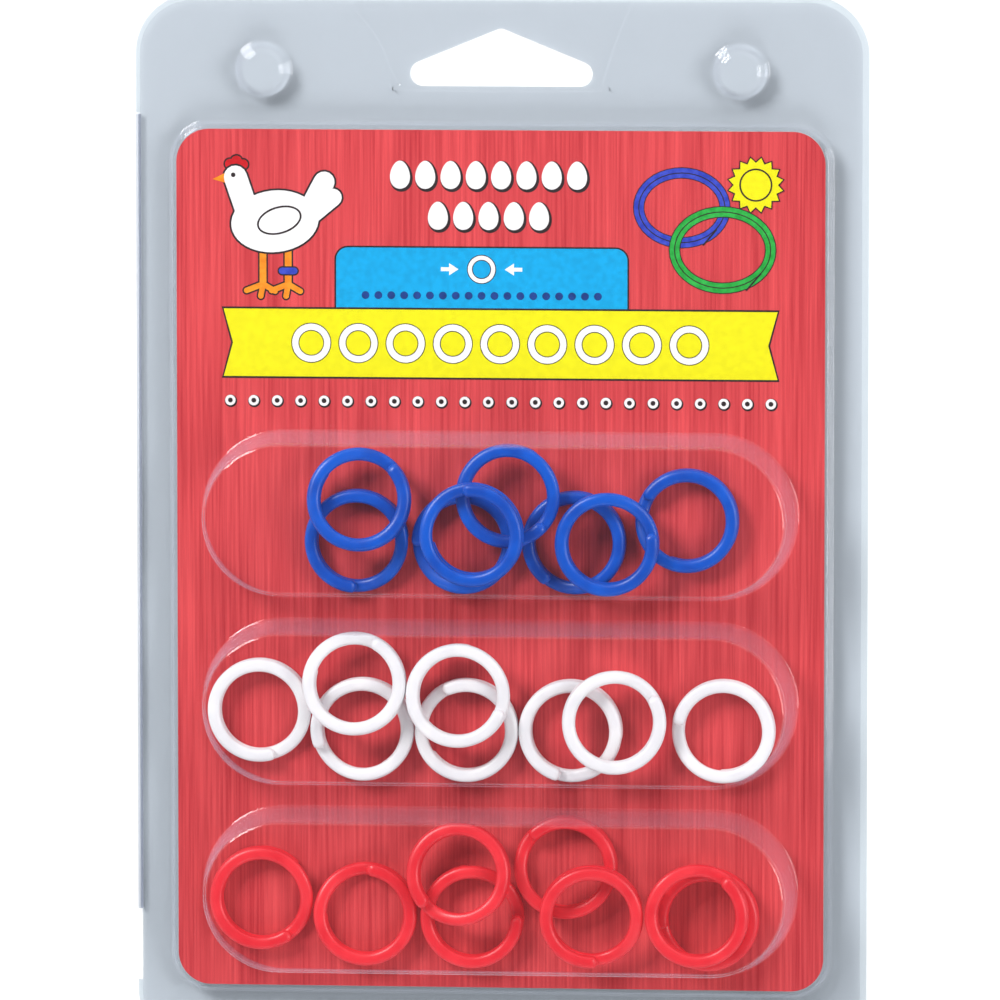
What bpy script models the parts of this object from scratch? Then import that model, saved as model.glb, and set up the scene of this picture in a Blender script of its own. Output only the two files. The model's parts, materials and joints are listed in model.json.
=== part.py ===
"""A retail pack of spiral leg bands for poultry.

A clear thermoformed clamshell folds along its left edge. Its back shell carries a
printed card on a raised plateau, and its front shell has three long pockets that
hold 24 spiral bands: eight blue, eight white and eight red.

The pack lies on its back. +X is to the right, +Y towards the hang hole and +Z out of
the front. The origin is at the middle of the footprint, on the rear face. Metres.
"""

import math

import bmesh
import bpy
from mathutils import Matrix, Vector

MM = 0.001

# ---- Driving dimensions ----

# Spiral band: a strand wound flat on itself like a key ring, two layers high.
BAND_BORE = 14.3 * MM
STRAND_WIDTH = 2.2 * MM
STRAND_HEIGHT = 1.8 * MM
COIL_GAP = 0.1 * MM
COIL_TURNS = 1.75
COIL_STEP = math.radians(22.5)
CROSSING_START = math.radians(270)
CROSSING_END = math.radians(360)

# Heap: where the bands lie in their pockets.
REST_GAP = 0.3 * MM
POCKET_HEADROOM = 0.35 * MM
SPIN_STEP = math.radians(137.5)

# Clear sheet of both shells.
SHEET = 0.4 * MM
SHEET_GAP = 0.3 * MM

# Pockets of the front shell.
POCKET_COUNT = 3
POCKET_HALF_LENGTH_IN_BANDS = 2.882
POCKET_HALF_WIDTH_IN_BANDS = 0.7915
POCKET_DRAFT = 1.3 * MM
POCKET_EDGE_RADIUS = 1.2 * MM
POCKET_SPACING = 3.95 * MM

# Printed card.
CARD_THICKNESS = 0.5 * MM
CARD_SIDE = 4.7 * MM
CARD_FOOT = 2.75 * MM
CARD_HEADER = 54.65 * MM
CARD_CORNER_RADIUS = 6.0 * MM
CARD_CLEARANCE = 0.35 * MM

# Body of the front shell and the plateau of the back shell that fills it.
BODY_DRAFT = 0.65 * MM
PLATEAU_HEIGHT = 2.0 * MM
PLATEAU_INSET = 0.5 * MM
PLATEAU_DRAFT = 0.4 * MM

# Flanges.
SIDE_FLANGE = 6.3 * MM
HEADER_FLANGE = 23.0 * MM
FOOT_FLANGE = 11.0 * MM
FLANGE_CORNER_RADIUS = 10.9 * MM
FRONT_FLANGE_INSET = 1.2 * MM

# Snap buttons in the header: a dome in the front shell over a stud in the back shell.
SNAP_BASE_RADIUS = 5.35 * MM
SNAP_TOP_RADIUS = 4.1 * MM
SNAP_HEIGHT = 3.0 * MM
SNAP_FROM_CENTRE = 43.4 * MM
SNAP_ABOVE_BODY = 9.2 * MM

# Hang hole: a flat triangle with round corners.
HANG_HOLE_WIDTH = 33.2 * MM
HANG_HOLE_HEIGHT = 10.5 * MM
HANG_HOLE_END_RADIUS = 2.3 * MM
HANG_HOLE_TOP_RADIUS = 1.5 * MM
HANG_HOLE_ABOVE_BODY = 6.4 * MM

# Living hinge along the left edge.
HINGE_RADIUS = 0.3 * MM
HINGE_CLEARANCE = 0.25 * MM
HINGE_FROM_HEADER = 1.1 * MM
HINGE_FROM_FOOT = 14.9 * MM
HINGE_NOTCH = 13.2 * MM

# Smoothness of round outlines.
CORNER_SEGMENTS = 6
POCKET_END_SEGMENTS = 14
POCKET_EDGE_SEGMENTS = 3
SNAP_SEGMENTS = 20
HINGE_SEGMENTS = 10

# Heaps, as (x, y, level, lean, heading) for each band. x and y run from the pocket's
# centre in band diameters. A level is one band height with its gap, lean is how far the
# high side rises in band heights, and heading is where the high side points, in degrees.
HEAPS = {
    "blue": [
        (-1.385, -0.257, 0.00, 0.00, 0),
        (-1.342, 0.166, 0.95, 0.30, 264),
        (-0.342, -0.257, 0.00, 0.00, 0),
        (0.107, 0.214, 1.00, 0.15, 270),
        (-0.225, -0.144, 2.00, 0.25, 47),
        (0.733, -0.257, 0.00, 0.00, 0),
        (1.070, -0.246, 1.00, 0.05, 60),
        (1.829, -0.032, 0.00, 0.00, 0),
    ],
    "white": [
        (-2.337, -0.080, 0.00, 0.00, 0),
        (-1.390, 0.209, 0.94, 0.30, 276),
        (-1.332, -0.257, 0.00, 0.00, 0),
        (-0.380, 0.102, 0.98, 0.20, 280),
        (-0.315, -0.257, 0.00, 0.00, 0),
        (0.701, -0.257, 0.00, 0.00, 0),
        (1.139, -0.144, 0.95, 0.25, 194),
        (2.187, -0.241, 0.00, 0.00, 0),
    ],
    "red": [
        (-2.321, -0.086, 0.00, 0.00, 0),
        (-1.305, -0.233, 0.00, 0.00, 0),
        (-0.374, 0.193, 0.94, 0.30, 285),
        (-0.259, -0.246, 0.00, 0.00, 0),
        (0.652, 0.249, 0.00, 0.00, 0),
        (0.920, -0.209, 0.94, 0.30, 120),
        (1.947, -0.187, 1.00, 0.03, 300),
        (2.032, -0.246, 0.00, 0.00, 0),
    ],
}

# Base colour, roughness and alpha.
FINISHES = {
    "clear_sheet": ((0.80, 0.86, 0.92), 0.08, 0.3),
    "printed_card": ((0.72, 0.08, 0.08), 0.55, 1.0),
    "blue": ((0.01, 0.12, 0.70), 0.35, 1.0),
    "white": ((0.85, 0.85, 0.83), 0.35, 1.0),
    "red": ((0.78, 0.05, 0.07), 0.35, 1.0),
}

# ---- Derived dimensions ----

BAND_DIAMETER = BAND_BORE + 2 * STRAND_WIDTH
BAND_RADIUS = BAND_DIAMETER / 2
COIL_RADIUS = BAND_BORE / 2 + STRAND_WIDTH / 2
COIL_RISE = STRAND_HEIGHT + COIL_GAP
BAND_HEIGHT = COIL_RISE + STRAND_HEIGHT

POCKET_HALF_LENGTH = POCKET_HALF_LENGTH_IN_BANDS * BAND_DIAMETER + SHEET
POCKET_HALF_WIDTH = POCKET_HALF_WIDTH_IN_BANDS * BAND_DIAMETER + SHEET
POCKET_PITCH = 2 * POCKET_HALF_WIDTH + POCKET_SPACING

CARD_HALF_WIDTH = POCKET_HALF_LENGTH + CARD_SIDE
POCKETS_HEIGHT = POCKET_COUNT * POCKET_PITCH - POCKET_SPACING
CARD_HALF_HEIGHT = (CARD_FOOT + POCKETS_HEIGHT + CARD_HEADER) / 2

BODY_TOP_MARGIN = CARD_CLEARANCE + SHEET
BODY_MARGIN = BODY_TOP_MARGIN + BODY_DRAFT
BODY_HALF_WIDTH = CARD_HALF_WIDTH + BODY_MARGIN
BODY_HALF_HEIGHT = CARD_HALF_HEIGHT + BODY_MARGIN

PACK_HALF_WIDTH = BODY_HALF_WIDTH + SIDE_FLANGE
PACK_HALF_HEIGHT = BODY_HALF_HEIGHT + (HEADER_FLANGE + FOOT_FLANGE) / 2
CARD_Y = (FOOT_FLANGE - HEADER_FLANGE) / 2
BODY_TOP_Y = CARD_Y + BODY_HALF_HEIGHT
BODY_FOOT_Y = CARD_Y - BODY_HALF_HEIGHT

FRONT_FLANGE_Z = 2 * SHEET + SHEET_GAP
PLATEAU_Z = SHEET + PLATEAU_HEIGHT
CARD_Z = PLATEAU_Z + SHEET_GAP
CARD_TOP_Z = CARD_Z + CARD_THICKNESS
PANEL_Z = CARD_TOP_Z + SHEET_GAP + SHEET

HINGE_X = -PACK_HALF_WIDTH + HINGE_RADIUS
HINGE_Z = SHEET + SHEET_GAP / 2
HINGE_TOP_Y = BODY_TOP_Y + HINGE_FROM_HEADER
HINGE_FOOT_Y = BODY_FOOT_Y + HINGE_FROM_FOOT
EDGE_BESIDE_HINGE = HINGE_X + HINGE_RADIUS + HINGE_CLEARANCE

SNAP_Y = BODY_TOP_Y + SNAP_ABOVE_BODY
HANG_HOLE_Y = BODY_TOP_Y + HANG_HOLE_ABOVE_BODY


def pocket_y(index):
    """Middle of a pocket, counted from the header down."""
    top = CARD_Y + CARD_HALF_HEIGHT - CARD_HEADER - POCKET_HALF_WIDTH
    return top - index * POCKET_PITCH


def band_lean(lean):
    """Tilt that lifts the high side of a band by this many band heights."""
    return math.asin(lean * BAND_HEIGHT / BAND_RADIUS)


def band_centre_z(level):
    """Height of the middle of a band that lies on this level of the heap."""
    return CARD_TOP_Z + REST_GAP + level * (BAND_HEIGHT + REST_GAP) + BAND_HEIGHT / 2


def heap_top():
    """Highest point of any band."""
    heights = []
    for heap in HEAPS.values():
        for _, _, level, lean, _ in heap:
            tilt = band_lean(lean)
            reach = BAND_RADIUS * math.sin(tilt) + BAND_HEIGHT / 2 * math.cos(tilt)
            heights.append(band_centre_z(level) + reach)
    return max(heights)


POCKET_ROOF_Z = heap_top() + POCKET_HEADROOM + SHEET


# ---- Outlines, each a list of (x, y) points running anticlockwise ----


def arc(centre_x, centre_y, radius, start, end, segments):
    points = []
    for i in range(segments + 1):
        angle = start + (end - start) * i / segments
        points.append((centre_x + radius * math.cos(angle), centre_y + radius * math.sin(angle)))
    return points


def rounded_rectangle(left, right, foot, top, radius):
    quarter = math.pi / 2
    points = arc(right - radius, top - radius, radius, 0, quarter, CORNER_SEGMENTS)
    points += arc(left + radius, top - radius, radius, quarter, 2 * quarter, CORNER_SEGMENTS)
    points += arc(left + radius, foot + radius, radius, 2 * quarter, 3 * quarter, CORNER_SEGMENTS)
    points += arc(right - radius, foot + radius, radius, 3 * quarter, 4 * quarter, CORNER_SEGMENTS)
    return points


def card_outline(margin):
    """The card's outline, moved outwards by this margin."""
    half_x = CARD_HALF_WIDTH + margin
    half_y = CARD_HALF_HEIGHT + margin
    radius = CARD_CORNER_RADIUS + margin
    return rounded_rectangle(-half_x, half_x, CARD_Y - half_y, CARD_Y + half_y, radius)


def stadium(half_x, half_y, centre_y):
    """A bar with half-round ends."""
    reach = half_x - half_y
    quarter = math.pi / 2
    right = arc(reach, centre_y, half_y, -quarter, quarter, POCKET_END_SEGMENTS)
    left = arc(-reach, centre_y, half_y, quarter, 3 * quarter, POCKET_END_SEGMENTS)
    return right + left


def circle(centre_x, centre_y, radius):
    return arc(centre_x, centre_y, radius, 0, 2 * math.pi, SNAP_SEGMENTS)[:-1]


def hang_hole():
    """Flat triangle with its apex towards the header's edge."""
    end_x = HANG_HOLE_WIDTH / 2 - HANG_HOLE_END_RADIUS
    end_y = HANG_HOLE_Y + HANG_HOLE_END_RADIUS
    top_y = HANG_HOLE_Y + HANG_HOLE_HEIGHT - HANG_HOLE_TOP_RADIUS
    # The sloping sides are tangents of the end circles and the top circle.
    run = math.hypot(end_x, top_y - end_y)
    slope = math.atan2(top_y - end_y, end_x)
    slope -= math.asin((HANG_HOLE_END_RADIUS - HANG_HOLE_TOP_RADIUS) / run)
    quarter = math.pi / 2
    points = arc(end_x, end_y, HANG_HOLE_END_RADIUS, -quarter, quarter - slope, CORNER_SEGMENTS)
    points += arc(0, top_y, HANG_HOLE_TOP_RADIUS, quarter - slope, quarter + slope, CORNER_SEGMENTS)
    points += arc(-end_x, end_y, HANG_HOLE_END_RADIUS, quarter + slope, 3 * quarter, CORNER_SEGMENTS)
    return points


def back_flange():
    """Full outline of the pack, cut back on the left beside the hinge and below it."""
    foot = CARD_Y - BODY_HALF_HEIGHT - FOOT_FLANGE
    top = CARD_Y + BODY_HALF_HEIGHT + HEADER_FLANGE
    outline = rounded_rectangle(-PACK_HALF_WIDTH, PACK_HALF_WIDTH, foot, top, FLANGE_CORNER_RADIUS)
    recess_top = HINGE_TOP_Y + HINGE_CLEARANCE
    recess_foot = HINGE_FOOT_Y - HINGE_NOTCH
    recess = [
        (-PACK_HALF_WIDTH, recess_top),
        (EDGE_BESIDE_HINGE, recess_top),
        (EDGE_BESIDE_HINGE, recess_foot),
        (-PACK_HALF_WIDTH, recess_foot),
    ]
    after_top_left = 2 * (CORNER_SEGMENTS + 1)
    return outline[:after_top_left] + recess + outline[after_top_left:]


def front_flange():
    """Outline of the lid, clear of the hinge and a little inside the back flange."""
    foot = CARD_Y - BODY_HALF_HEIGHT - FOOT_FLANGE + FRONT_FLANGE_INSET
    top = CARD_Y + BODY_HALF_HEIGHT + HEADER_FLANGE - FRONT_FLANGE_INSET
    right = PACK_HALF_WIDTH - FRONT_FLANGE_INSET
    radius = FLANGE_CORNER_RADIUS - FRONT_FLANGE_INSET
    return rounded_rectangle(EDGE_BESIDE_HINGE, right, foot, top, radius)


# ---- Pressed forms, each a list of (outline, z) from its foot to its top ----


def nesting_inset(rise, run):
    """How much smaller a form is than the same form pressed one sheet and gap above it,
    so that the gap between their sloping walls is the gap between their flat faces."""
    slope = math.atan2(run, rise)
    return (SHEET + SHEET_GAP) * (1 - math.sin(slope)) / math.cos(slope)


def snap_form(side, base_radius, base_z):
    """Round button, pressed up from the header."""
    top_radius = base_radius - (SNAP_BASE_RADIUS - SNAP_TOP_RADIUS)
    x = side * SNAP_FROM_CENTRE
    return [
        (circle(x, SNAP_Y, base_radius), base_z),
        (circle(x, SNAP_Y, top_radius), base_z + SNAP_HEIGHT),
    ]


def pocket_form(index):
    """Long pocket with drafted walls and a rounded upper edge."""
    insets = [(0.0, PANEL_Z)]
    for step in range(POCKET_EDGE_SEGMENTS + 1):
        angle = math.pi / 2 * step / POCKET_EDGE_SEGMENTS
        inset = POCKET_DRAFT + POCKET_EDGE_RADIUS * (1 - math.cos(angle))
        z = POCKET_ROOF_Z - POCKET_EDGE_RADIUS * (1 - math.sin(angle))
        insets.append((inset, z))
    form = []
    for inset, z in insets:
        outline = stadium(POCKET_HALF_LENGTH - inset, POCKET_HALF_WIDTH - inset, pocket_y(index))
        form.append((outline, z))
    return form


# ---- Meshes ----


def ring(mesh, outline, z):
    verts = [mesh.verts.new((x, y, z)) for x, y in outline]
    for vert, following in zip(verts, verts[1:] + verts[:1]):
        mesh.edges.new((vert, following))
    return verts


def ring_edges(mesh, verts):
    return [mesh.edges.get(pair) for pair in zip(verts, verts[1:] + verts[:1])]


def flat_sheet(mesh, outer, inner_rings):
    """Fills between one ring and the rings inside it."""
    edges = ring_edges(mesh, outer)
    for inner in inner_rings:
        edges += ring_edges(mesh, inner)
    bmesh.ops.triangle_fill(mesh, use_beauty=True, edges=edges, normal=(0, 0, 1))


def press_form(mesh, form, inner_forms=()):
    """Walls from ring to ring, closed by a flat top that may carry forms of its own."""
    rings = [ring(mesh, outline, z) for outline, z in form]
    for lower, upper in zip(rings, rings[1:]):
        count = len(lower)
        for i in range(count):
            j = (i + 1) % count
            mesh.faces.new((lower[i], lower[j], upper[j], upper[i]))
    feet = [press_form(mesh, inner) for inner in inner_forms]
    flat_sheet(mesh, rings[-1], feet)
    return rings[0]


def finish_mesh(mesh, name):
    bmesh.ops.recalc_face_normals(mesh, faces=mesh.faces)
    data = bpy.data.meshes.new(name)
    mesh.to_mesh(data)
    mesh.free()
    return data


def pressed_shell(name, outline, flange_z, forms):
    """Open surface of a shell's upper face: its flange with the hang hole, and its forms."""
    mesh = bmesh.new()
    outer = ring(mesh, outline, flange_z)
    hole = ring(mesh, hang_hole(), flange_z)
    feet = [press_form(mesh, form, inner_forms) for form, inner_forms in forms]
    flat_sheet(mesh, outer, [hole] + feet)
    for face in mesh.faces:
        face.normal_update()
        if face.normal.z < 0:
            face.normal_flip()
    data = bpy.data.meshes.new(name)
    mesh.to_mesh(data)
    mesh.free()
    return data


def coil_points():
    """Middle line of a band: one flat layer, a crossing and a second flat layer."""
    points = []
    steps = round(COIL_TURNS * 2 * math.pi / COIL_STEP)
    for step in range(steps + 1):
        angle = step * COIL_STEP
        share = (angle - CROSSING_START) / (CROSSING_END - CROSSING_START)
        share = min(max(share, 0.0), 1.0)
        z = COIL_RISE * (share - 0.5)
        points.append((COIL_RADIUS * math.cos(angle), COIL_RADIUS * math.sin(angle), z))
    return points


def band_mesh(name):
    """The coil as a round wire, then flattened to the strand's section."""
    flatness = STRAND_HEIGHT / STRAND_WIDTH
    curve = bpy.data.curves.new(name, "CURVE")
    curve.dimensions = "3D"
    curve.twist_mode = "Z_UP"
    curve.bevel_depth = STRAND_WIDTH / 2
    curve.bevel_resolution = 1
    curve.use_fill_caps = True
    points = coil_points()
    spline = curve.splines.new("POLY")
    spline.points.add(len(points) - 1)
    for point, (x, y, z) in zip(spline.points, points):
        point.co = (x, y, z / flatness, 1)
    wire = bpy.data.objects.new(name, curve)
    bpy.context.scene.collection.objects.link(wire)
    evaluated = wire.evaluated_get(bpy.context.evaluated_depsgraph_get())
    data = bpy.data.meshes.new_from_object(evaluated)
    bpy.data.objects.remove(wire)
    bpy.data.curves.remove(curve)
    data.transform(Matrix.Diagonal((1, 1, flatness, 1)))
    mesh = bmesh.new()
    mesh.from_mesh(data)
    bpy.data.meshes.remove(data)
    bmesh.ops.remove_doubles(mesh, verts=mesh.verts, dist=0.001 * MM)
    return finish_mesh(mesh, name)


# ---- Objects ----


def clear_scene():
    for old in list(bpy.data.objects):
        bpy.data.objects.remove(old)


def make_material(name):
    colour, roughness, alpha = FINISHES[name]
    material = bpy.data.materials.new(name)
    material.use_nodes = True
    shader = material.node_tree.nodes["Principled BSDF"]
    shader.inputs["Base Color"].default_value = (*colour, 1)
    shader.inputs["Roughness"].default_value = roughness
    shader.inputs["Metallic"].default_value = 0.0
    shader.inputs["Alpha"].default_value = alpha
    return material


def add_object(name, data, collection, material, parent=None):
    data.materials.clear()
    data.materials.append(material)
    data.shade_smooth()
    data.set_sharp_from_angle(angle=math.radians(35))
    made = bpy.data.objects.new(name, data)
    collection.objects.link(made)
    made.parent = parent
    return made


def thicken(shell):
    """Gives a shell its sheet thickness below its upper face."""
    solidify = shell.modifiers.new("sheet", "SOLIDIFY")
    solidify.thickness = SHEET
    solidify.offset = -1
    solidify.solidify_mode = "NON_MANIFOLD"
    solidify.nonmanifold_thickness_mode = "CONSTRAINTS"
    solidify.nonmanifold_merge_threshold = 0.0001 * MM


def make_back_shell(collection, material):
    plateau = [
        (card_outline(PLATEAU_DRAFT - PLATEAU_INSET), SHEET),
        (card_outline(-PLATEAU_INSET), PLATEAU_Z),
    ]
    stud_radius = SNAP_BASE_RADIUS
    stud_radius -= nesting_inset(SNAP_HEIGHT, SNAP_BASE_RADIUS - SNAP_TOP_RADIUS)
    forms = [(plateau, ())]
    forms += [(snap_form(side, stud_radius, SHEET), ()) for side in (-1, 1)]
    data = pressed_shell("back_shell", back_flange(), SHEET, forms)
    shell = add_object("back_shell", data, collection, material)
    thicken(shell)


def make_front_shell(collection, material):
    """The lid, hung from an empty on the hinge's axis."""
    hinge = bpy.data.objects.new("hinge_axis", None)
    hinge.location = (HINGE_X, 0, HINGE_Z)
    collection.objects.link(hinge)
    body = [
        (card_outline(BODY_MARGIN), FRONT_FLANGE_Z),
        (card_outline(BODY_TOP_MARGIN), PANEL_Z),
    ]
    pockets = [pocket_form(index) for index in range(POCKET_COUNT)]
    forms = [(body, pockets)]
    forms += [(snap_form(side, SNAP_BASE_RADIUS, FRONT_FLANGE_Z), ()) for side in (-1, 1)]
    data = pressed_shell("front_shell", front_flange(), FRONT_FLANGE_Z, forms)
    data.transform(Matrix.Translation(-hinge.location))
    shell = add_object("front_shell", data, collection, material, parent=hinge)
    thicken(shell)


def make_hinge(collection, material):
    """Folded edge of the sheet, drawn as a bead on the axis that the lid turns about."""
    length = HINGE_TOP_Y - HINGE_FOOT_Y
    mesh = bmesh.new()
    bmesh.ops.create_cone(
        mesh,
        cap_ends=True,
        segments=HINGE_SEGMENTS,
        radius1=HINGE_RADIUS,
        radius2=HINGE_RADIUS,
        depth=length,
        matrix=Matrix.Rotation(math.pi / 2, 4, "X"),
    )
    hinge = add_object("living_hinge", finish_mesh(mesh, "living_hinge"), collection, material)
    hinge.location = (HINGE_X, (HINGE_TOP_Y + HINGE_FOOT_Y) / 2, HINGE_Z)


def make_card(collection, material):
    mesh = bmesh.new()
    face = mesh.faces.new([mesh.verts.new((x, y, CARD_Z)) for x, y in card_outline(0)])
    raised = bmesh.ops.extrude_face_region(mesh, geom=[face])
    top = [item for item in raised["geom"] if isinstance(item, bmesh.types.BMVert)]
    bmesh.ops.translate(mesh, verts=top, vec=(0, 0, CARD_THICKNESS))
    add_object("insert_card", finish_mesh(mesh, "insert_card"), collection, material)


def make_bands(collection):
    """Each pocket's heap. A band's origin is its centre, and its own Z is its axis."""
    count = 0
    for index, (colour, heap) in enumerate(HEAPS.items()):
        material = make_material(colour)
        data = band_mesh(f"band_{colour}")
        for number, (x, y, level, lean, heading) in enumerate(heap, start=1):
            band = add_object(f"band_{colour}_{number}", data, collection, material)
            centre_x = x * BAND_DIAMETER
            centre_y = pocket_y(index) + y * BAND_DIAMETER
            band.location = (centre_x, centre_y, band_centre_z(level))
            level_axis = Matrix.Rotation(math.radians(heading), 3, "Z") @ Vector((0, 1, 0))
            tilt = Matrix.Rotation(-band_lean(lean), 3, level_axis)
            spin = Matrix.Rotation(count * SPIN_STEP, 3, "Z")
            band.rotation_euler = (tilt @ spin).to_euler()
            count += 1


def build():
    clear_scene()
    collection = bpy.data.collections.new("spiral_leg_band_pack")
    bpy.context.scene.collection.children.link(collection)
    sheet = make_material("clear_sheet")
    make_back_shell(collection, sheet)
    make_front_shell(collection, sheet)
    make_hinge(collection, sheet)
    make_card(collection, make_material("printed_card"))
    make_bands(collection)


build()
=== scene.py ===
import json
import math

import bmesh
import bpy
import numpy as np
from mathutils import Matrix, Vector
from mathutils.geometry import delaunay_2d_cdt, intersect_point_line


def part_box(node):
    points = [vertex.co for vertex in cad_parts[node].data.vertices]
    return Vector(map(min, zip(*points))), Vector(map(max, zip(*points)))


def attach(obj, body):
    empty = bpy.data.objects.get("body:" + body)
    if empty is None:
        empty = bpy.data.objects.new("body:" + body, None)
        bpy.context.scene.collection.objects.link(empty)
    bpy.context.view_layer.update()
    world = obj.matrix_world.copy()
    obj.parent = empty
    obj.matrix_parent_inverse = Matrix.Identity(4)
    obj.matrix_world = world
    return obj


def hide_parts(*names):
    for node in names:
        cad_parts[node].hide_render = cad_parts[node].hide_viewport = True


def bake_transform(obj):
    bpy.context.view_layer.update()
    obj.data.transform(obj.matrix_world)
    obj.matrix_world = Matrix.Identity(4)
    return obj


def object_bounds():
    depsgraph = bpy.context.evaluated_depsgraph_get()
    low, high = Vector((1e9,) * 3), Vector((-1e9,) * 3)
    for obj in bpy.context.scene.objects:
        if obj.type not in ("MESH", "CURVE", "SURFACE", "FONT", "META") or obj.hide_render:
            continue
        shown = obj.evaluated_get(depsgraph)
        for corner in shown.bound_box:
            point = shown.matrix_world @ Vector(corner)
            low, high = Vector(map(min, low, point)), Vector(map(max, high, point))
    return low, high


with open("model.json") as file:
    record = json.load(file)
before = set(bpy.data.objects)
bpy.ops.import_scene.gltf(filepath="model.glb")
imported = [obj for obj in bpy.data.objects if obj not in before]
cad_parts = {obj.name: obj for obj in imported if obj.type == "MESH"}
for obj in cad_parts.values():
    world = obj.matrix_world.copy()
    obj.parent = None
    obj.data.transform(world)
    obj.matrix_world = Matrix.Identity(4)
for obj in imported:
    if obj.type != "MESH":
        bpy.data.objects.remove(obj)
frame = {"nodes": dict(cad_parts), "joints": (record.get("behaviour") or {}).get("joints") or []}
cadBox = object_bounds()
mm = 0.001

cardLow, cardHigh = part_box("insert_card")
frontLow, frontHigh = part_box("front_shell")
backLow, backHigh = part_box("back_shell")
hingeLow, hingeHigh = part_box("living_hinge")
cardMiddle = (cardLow + cardHigh) / 2

# What the two shells share: the sheet, and the planes their forms rise between.
sheet = {
    "thickness": 0.4 * mm,
    "frontFlange": frontLow.z + 0.4 * mm,    # upper face of the lid's flange
    "backFlange": backLow.z + 0.4 * mm,
    "plateau": cardLow.z - 0.3 * mm,         # upper face of the bed, a little under the card
    "panel": cardHigh.z + 0.7 * mm,          # upper face of the lid between the pockets
    "roof": frontHigh.z - 0.01 * mm,         # upper face of the pockets, just inside the part's box
    "bodyMargin": 1.4 * mm,                  # from the card to the foot of the lid's body
    "bodyDraft": 0.65 * mm,
    "nesting": 0.65 * mm,                    # from a wall of the lid in to the back shell's
    "weld": 0.001 * mm,
    "sharp": 40,                             # degrees
}


def paint(code):
    # sRGB hex to the linear colour that a shader takes
    channels = [int(code[i:i + 2], 16) / 255 for i in (1, 3, 5)]
    linear = [c / 12.92 if c <= 0.04045 else ((c + 0.055) / 1.055) ** 2.4 for c in channels]
    return (*linear, 1)


def addNode(tree, kind, settings=None, links=None):
    node = tree.nodes.new(kind)
    for name, value in (settings or {}).items():
        if isinstance(name, int) or name in node.inputs:
            node.inputs[name].default_value = value
        else:
            setattr(node, name, value)
    for name, source in (links or {}).items():
        tree.links.new(source, node.inputs[name])
    return node


def newMaterial(name):
    material = bpy.data.materials.new(name)
    material.use_nodes = True
    material.node_tree.nodes.clear()
    return material, material.node_tree


def surfaceOut(tree, shader):
    addNode(tree, "ShaderNodeOutputMaterial", links={"Surface": shader})


def noise(tree, place, across, detail):
    # mottle of the given size
    return addNode(tree, "ShaderNodeTexNoise", {"Scale": 1 / across, "Detail": detail},
                   {"Vector": place}).outputs["Fac"]


def twoColours(tree, source, darkAt, dark, lightAt, light):
    ramp = addNode(tree, "ShaderNodeValToRGB", links={"Fac": source})
    for stop, at, code in zip(ramp.color_ramp.elements, (darkAt, lightAt), (dark, light)):
        stop.position = at
        stop.color = paint(code)
    return ramp.outputs["Color"]


def printedGloss(tree, colour):
    # ink on coated board, with the sheen of a thin varnish
    return addNode(tree, "ShaderNodeBsdfPrincipled",
                   {"Roughness": 0.42, "IOR": 1.5, "Specular IOR Level": 0.3},
                   {"Base Color": colour}).outputs[0]


def clearSheetMaterial(name, tint, haze):
    # Thermoformed clear PET: it lets most light through with a cool cast, mirrors the lights
    # more the flatter they strike it, and carries a very faint waviness from the mould.
    material, tree = newMaterial(name)
    place = addNode(tree, "ShaderNodeTexCoord").outputs["Object"]
    # very shallow draw-down waves about 14 mm apart, and handling scuffs 0.5 mm across
    waves = noise(tree, place, 14 * mm, 1.0)
    scuffs = noise(tree, place, 0.5 * mm, 3.0)
    bump = addNode(tree, "ShaderNodeBump", {"Strength": 0.05, "Distance": 0.06 * mm},
                   {"Height": waves}).outputs["Normal"]
    polish = addNode(tree, "ShaderNodeMapRange",
                     {"From Min": 0.3, "From Max": 0.8, "To Min": 0.03, "To Max": 0.09},
                     {"Value": scuffs}).outputs["Result"]
    through = addNode(tree, "ShaderNodeBsdfTransparent", {"Color": paint(tint)}).outputs[0]
    gloss = addNode(tree, "ShaderNodeBsdfGlossy", {"Color": paint("#FFFFFF")},
                    {"Roughness": polish, "Normal": bump}).outputs[0]
    # what each face of the sheet mirrors: 3.5% seen square on, and 90% at a graze
    facing = addNode(tree, "ShaderNodeLayerWeight", {"Blend": 0.5},
                     {"Normal": bump}).outputs["Facing"]
    graze = addNode(tree, "ShaderNodeMath", {"operation": "POWER", 1: 5.0},
                    {0: facing}).outputs[0]
    mirror = addNode(tree, "ShaderNodeMapRange", {"To Min": 0.035, "To Max": 0.9},
                     {"Value": graze}).outputs["Result"]
    clear = addNode(tree, "ShaderNodeMixShader", links={0: mirror, 1: through, 2: gloss}).outputs[0]
    # a faint even milkiness (haze), plus a pale diffuse veil that grows where the sheet is seen or
    # struck edge-on: painted sheen standing in for grazing reflections, which shows along edges and
    # folds
    hazeAndPaintedSheenShare = addNode(tree, "ShaderNodeMapRange", {"To Min": haze, "To Max": 0.26},
                    {"Value": graze}).outputs["Result"]
    # pale diffuse layer: a little real haze, the rest painted sheen at a graze
    hazeAndPaintedSheenVeil = addNode(tree, "ShaderNodeBsdfDiffuse", {"Color": paint("#C9D0EA")}).outputs[0]
    surface = addNode(tree, "ShaderNodeMixShader", links={0: hazeAndPaintedSheenShare, 1: clear, 2: hazeAndPaintedSheenVeil}).outputs[0]
    surfaceOut(tree, surface)
    return material


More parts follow.
